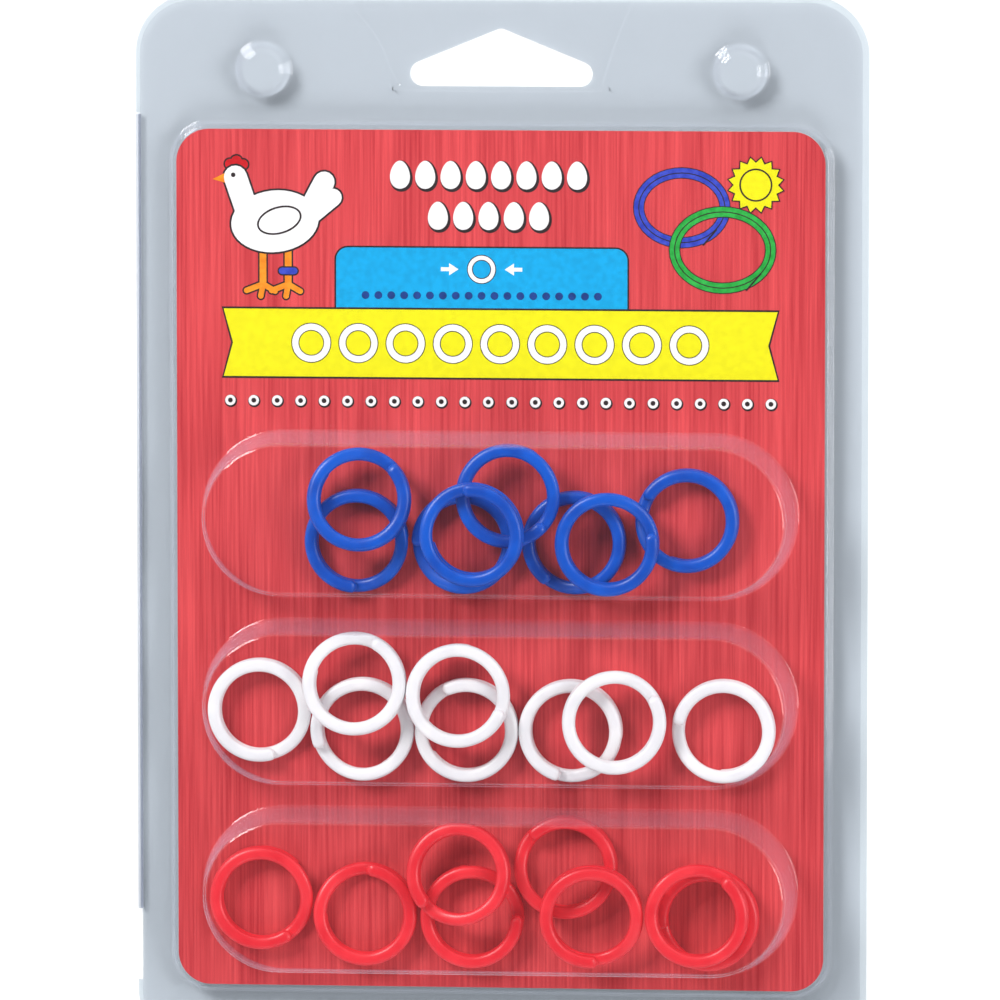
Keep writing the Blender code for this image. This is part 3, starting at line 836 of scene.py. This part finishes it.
def makeHenSign():
    h = hen
    cx, cy = h["middle"]

    def oval(x, y, rx, ry, turn=0.0, segments=40):
        return ellipse(cx + x * mm, cy + y * mm, rx * mm, ry * mm, turn, segments)

    def bar(one, other, radius):
        return barOutline(cx + one[0] * mm, cy + one[1] * mm,
                          cx + other[0] * mm, cy + other[1] * mm, radius * mm)

    shapes = []
    for layer, colour, grow in ((2, "dark", h["darkEdge"]), (3, "white", 0)):
        parts = [oval(0, 0, h["bodyX"] + grow, h["bodyY"] + grow, h["bodyTurn"])]
        parts += [bar(one, other, radius + grow) for one, other, radius in h["bars"]]
        shapes += [(layer, colour, part, []) for part in parts]
    for x, y, radius in h["comb"]:
        dark = radius + h["combEdge"]
        shapes.append((1, "red", oval(x, y, radius, radius, 0, 18), []))
        shapes.append((0, "dark", oval(x, y, dark, dark, 0, 18), []))
    shapes.append((2, "orange", [(cx + x * mm, cy + y * mm) for x, y in h["beak"]], []))
    x, y, radius = h["eye"]
    shapes.append((4, "dark", oval(x, y, radius, radius, 0, 14), []))
    shapes.append((4, "dark", oval(*h["wing"], *h["wingOuter"], h["wingTurn"]),
                   [oval(*h["wing"], *h["wingInner"], h["wingTurn"])]))
    # legs, each with three toes
    for x, y in h["hips"]:
        ankle = (x, y - h["shin"])
        bars = [((x, y), ankle, h["shinRadius"])]
        bars += [(ankle, (x + dx, y + dy), h["toeRadius"]) for dx, dy in h["toes"]]
        for one, other, radius in bars:
            shapes.append((0, "dark", bar(one, other, radius + h["legEdge"]), []))
            shapes.append((1, "orange", bar(one, other, radius), []))
    # a band on one leg
    x, y = h["legBand"]
    ends = (x - h["bandHalf"], y), (x + h["bandHalf"], y)
    shapes.append((2, "dark", bar(*ends, h["bandDarkRadius"]), []))
    shapes.append((3, "blue", bar(*ends, h["bandRadius"]), []))
    ink("print_hen", shapes)


# Two linked spiral rings, the second over the first: (colour, x, y, half width, half height,
# layer), in millimetres. A thin dark line parts the two turns, and a short one is the cut.
rings = {"pair": (("blue", 33.0, 64.4, 8.7, 7.2, 0), ("green", 40.4, 56.8, 9.6, 7.8, 4)),
         "stroke": 1.75 * mm, "lineOuter": 0.8 * mm, "lineInner": 0.98 * mm,
         "cut": ((0.45, -0.93), (0.72, -0.55)), "cutRadius": 0.14 * mm}
rosette = {"middle": (46.4 * mm, 68.6 * mm), "petals": 16, "tips": 5.0 * mm, "dips": 4.0 * mm,
           "darkEdge": 0.3 * mm, "ring": 3.0 * mm, "ringHole": 2.7 * mm}


def makeRingSign():
    shapes = []
    (cutX, cutY), (endX, endY) = rings["cut"]
    outer, inner = rings["lineOuter"], rings["lineInner"]
    for colour, cx, cy, rx, ry, at in rings["pair"]:
        cx, cy, rx, ry = cx * mm, cy * mm, rx * mm, ry * mm
        shapes += ringShapes(at, colour, cx, cy, rx, ry, rings["stroke"])
        shapes.append((at + 2, "dark", ellipse(cx, cy, rx - outer, ry - outer),
                       [ellipse(cx, cy, rx - inner, ry - inner)]))
        cut = barOutline(cx + rx * cutX, cy + ry * cutY, cx + rx * endX, cy + ry * endY,
                         rings["cutRadius"])
        shapes.append((at + 3, "dark", cut, []))
    cx, cy = rosette["middle"]
    corners = 2 * rosette["petals"]
    for layer, colour, grow in ((8, "dark", rosette["darkEdge"]), (9, "yellow", 0.0)):
        points = []
        for i in range(corners):
            r = rosette["tips" if i % 2 else "dips"] + grow
            a = 2 * math.pi * i / corners
            points.append((cx + r * math.cos(a), cy + r * math.sin(a)))
        shapes.append((layer, colour, points, []))
    shapes.append((10, "dark", disc(cx, cy, rosette["ring"]),
                   [disc(cx, cy, rosette["ringHole"])]))
    ink("print_rings", shapes)


# One loose band: a strand wound in two flat layers with one crossing. Its middle lies
# toMiddle out from the bore, and it is drawn a little wider than twice that.
band = {"bore": 14.3 * mm, "toMiddle": 1.1 * mm, "width": 2.38 * mm, "height": 1.8 * mm,
        "rise": 1.9 * mm, "turns": 1.75, "crossStart": 0.75, "perTurn": 88, "section": 18,
        "squareness": 2.7, "tip": 1.0 * mm, "tipSize": 0.35}


def volumeMiddle(node):
    data = frame["nodes"][node].data
    data.calc_loop_triangles()
    points = np.array([v.co for v in data.vertices])
    corners = points[np.array([t.vertices for t in data.loop_triangles])]
    volume = np.einsum("ij,ij->i", corners[:, 0], np.cross(corners[:, 1], corners[:, 2])) / 6
    return Vector((corners.sum(1) / 4 * volume[:, None]).sum(0) / volume.sum())


def coilMatrix(node, joint):
    # a coil is heavier on the side that is wound twice, whose middle lies 3/8 of a turn on
    # from its first tip
    centre, axis = Vector(joint["pos_m"]), Vector(joint["axis"]).normalized()
    heavy = volumeMiddle(node) - centre
    heavy -= axis * heavy.dot(axis)
    first = (Matrix.Rotation(-0.75 * math.pi, 3, axis) @ heavy).normalized()
    turn = Matrix((first, axis.cross(first), axis)).transposed()
    return Matrix.Translation(centre) @ turn.to_4x4()


def coilMesh(name):
    b = band
    radius = b["bore"] / 2 + b["toMiddle"]
    count = round(b["turns"] * b["perTurn"])
    length = b["turns"] * 2 * math.pi * radius
    power = 2 / b["squareness"]
    mesh = bmesh.new()
    rings = []
    for k in range(count + 1):
        turned = k / b["perTurn"]
        share = min(max((turned - b["crossStart"]) / (1 - b["crossStart"]), 0), 1)
        z = b["rise"] * (share * share * (3 - 2 * share) - 0.5)
        a = 2 * math.pi * turned
        # the tips are cut and tumbled round
        fromEnd = min(k, count - k) / count * length
        full = math.sqrt(max(0.0, 1 - (1 - min(fromEnd / b["tip"], 1)) ** 2))
        full = b["tipSize"] + (1 - b["tipSize"]) * full
        ring = []
        for i in range(b["section"]):
            s = 2 * math.pi * i / b["section"]
            across = math.copysign(abs(math.cos(s)) ** power, math.cos(s)) * b["width"] / 2 * full
            up = math.copysign(abs(math.sin(s)) ** power, math.sin(s)) * b["height"] / 2 * full
            r = radius + across
            ring.append(mesh.verts.new((r * math.cos(a), r * math.sin(a), z + up)))
        rings.append(ring)
    for one, other in zip(rings, rings[1:]):
        for i in range(b["section"]):
            j = (i + 1) % b["section"]
            mesh.faces.new((one[i], one[j], other[j], other[i]))
    for ring in (rings[0], rings[-1]):
        middle = sum((v.co for v in ring), Vector()) / len(ring)
        tip = mesh.verts.new(middle)
        for i in range(b["section"]):
            mesh.faces.new((ring[i], ring[(i + 1) % b["section"]], tip))
    bmesh.ops.recalc_face_normals(mesh, faces=mesh.faces)
    data = bpy.data.meshes.new(name)
    mesh.to_mesh(data)
    mesh.free()
    data.shade_smooth()
    return data


def makeBands():
    for colour, material in strands.items():
        data = coilMesh("spiral_band_" + colour)
        data.materials.append(material)
        for joint in frame["joints"]:
            node = joint["child"]
            if not node.startswith("band_" + colour):
                continue
            coil = bpy.data.objects.new("spiral_" + node, data)
            bpy.context.scene.collection.objects.link(coil)
            coil.matrix_world = coilMatrix(node, joint)
            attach(coil, node)
            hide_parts(node)


makeLid()
print("lid formed")
makeBack()
makeFold()
print("back and fold formed")
makeCard()
makeRibbon()
makeTab()
makeEggRows()
makeDotRow()
makeHenSign()
makeRingSign()
print("card printed")
makeBands()
print("bands wound")

# Floor, light and camera.
studio = {"floor": "#F5F5F5", "floorHalf": 3.0, "floorDrop": 0.1 * mm,
          "walls": 0.8, "ceiling": 0.05, "wallsEnd": 0.45, "ceilingStart": 0.92,
          "airColour": (0.95, 0.97, 1.0, 1), "lampColour": (1.0, 0.985, 0.97)}


def makeFloor():
    material, tree = newMaterial("studio_table")
    # a matt painted board with a faint roller stipple, 2 mm across
    place = addNode(tree, "ShaderNodeTexCoord").outputs["Object"]
    stipple = noise(tree, place, 2 * mm, 2.0)
    bump = addNode(tree, "ShaderNodeBump", {"Strength": 0.1, "Distance": 0.02 * mm},
                   {"Height": stipple}).outputs["Normal"]
    surface = addNode(tree, "ShaderNodeBsdfPrincipled",
                      {"Base Color": paint(studio["floor"]), "Roughness": 0.9,
                       "Specular IOR Level": 0.2},
                      {"Normal": bump}).outputs[0]
    surfaceOut(tree, surface)
    mesh = bmesh.new()
    bmesh.ops.create_grid(mesh, x_segments=1, y_segments=1, size=studio["floorHalf"])
    floor = finishPiece(mesh, "studio_floor", [material])
    floor.location.z = cadBox[0].z - studio["floorDrop"]


def makeLamp(name, width, power, spot, aim, mirrored=True):
    lamp = bpy.data.lights.new(name, "AREA")
    lamp.shape = "SQUARE"
    lamp.size = width
    lamp.energy = power
    lamp.color = studio["lampColour"]
    holder = bpy.data.objects.new(name, lamp)
    bpy.context.scene.collection.objects.link(holder)
    holder.location = spot
    holder.visible_glossy = mirrored
    holder.rotation_euler = (Vector(aim) - Vector(spot)).to_track_quat("-Z", "Y").to_euler()


def makeStudio():
    world = bpy.data.worlds.new("studio_air")
    bpy.context.scene.world = world
    world.use_nodes = True
    # white walls all round under a dark ceiling, so that flat plastic mirrors little from
    # above; the foot and head softboxes light the pack but aren't mirrored in it
    tree = world.node_tree
    height = addNode(tree, "ShaderNodeSeparateXYZ",
                     links={0: addNode(tree, "ShaderNodeTexCoord").outputs["Generated"]}).outputs["Z"]
    walls = addNode(tree, "ShaderNodeMapRange",
                    {"From Min": studio["wallsEnd"], "From Max": studio["ceilingStart"],
                     "To Min": studio["walls"], "To Max": studio["ceiling"]},
                    {"Value": height}).outputs["Result"]
    background = tree.nodes["Background"]
    background.inputs["Color"].default_value = studio["airColour"]
    tree.links.new(walls, background.inputs["Strength"])
    middle = (cadBox[0] + cadBox[1]) / 2
    makeLamp("key_softbox", 0.5, 16, (-0.75, 0.75, 1.0), middle)
    makeLamp("right_softbox", 0.6, 6.5, (1.0, 0.1, 0.9), middle)
    makeLamp("foot_softbox", 0.6, 5, (0.1, -1.0, 0.9), middle, mirrored=False)
    makeLamp("head_softbox", 0.6, 4, (0.3, 1.1, 0.9), middle, mirrored=False)
    bpy.context.scene.view_settings.view_transform = "Standard"
    makeFloor()


# A long lens from well above, a little towards the header and the right.
view = {"distance": 1.85, "aim": (0.0, 5.07 * mm, 3.2 * mm), "towardsRight": 5.3,
        "towardsTop": 5.5, "frameWidth": 181.5 * mm, "sensor": 36, "farthest": 20}


def makeCamera():
    camera = bpy.data.cameras.new("camera")
    camera.sensor_width = view["sensor"]
    camera.lens = view["sensor"] * view["distance"] / view["frameWidth"]
    camera.clip_end = view["farthest"]
    right = math.tan(math.radians(view["towardsRight"]))
    up = math.tan(math.radians(view["towardsTop"]))
    away = Vector((right, up, 1)).normalized()
    across = Vector((0, 1, 0)).cross(away).normalized()
    turn = Matrix((across, away.cross(across), away)).transposed()
    holder = bpy.data.objects.new("camera", camera)
    bpy.context.scene.collection.objects.link(holder)
    spot = Vector(view["aim"]) + away * view["distance"]
    holder.matrix_world = Matrix.Translation(spot) @ turn.to_4x4()
    bpy.context.scene.camera = holder


makeStudio()
makeCamera()
print("studio set")
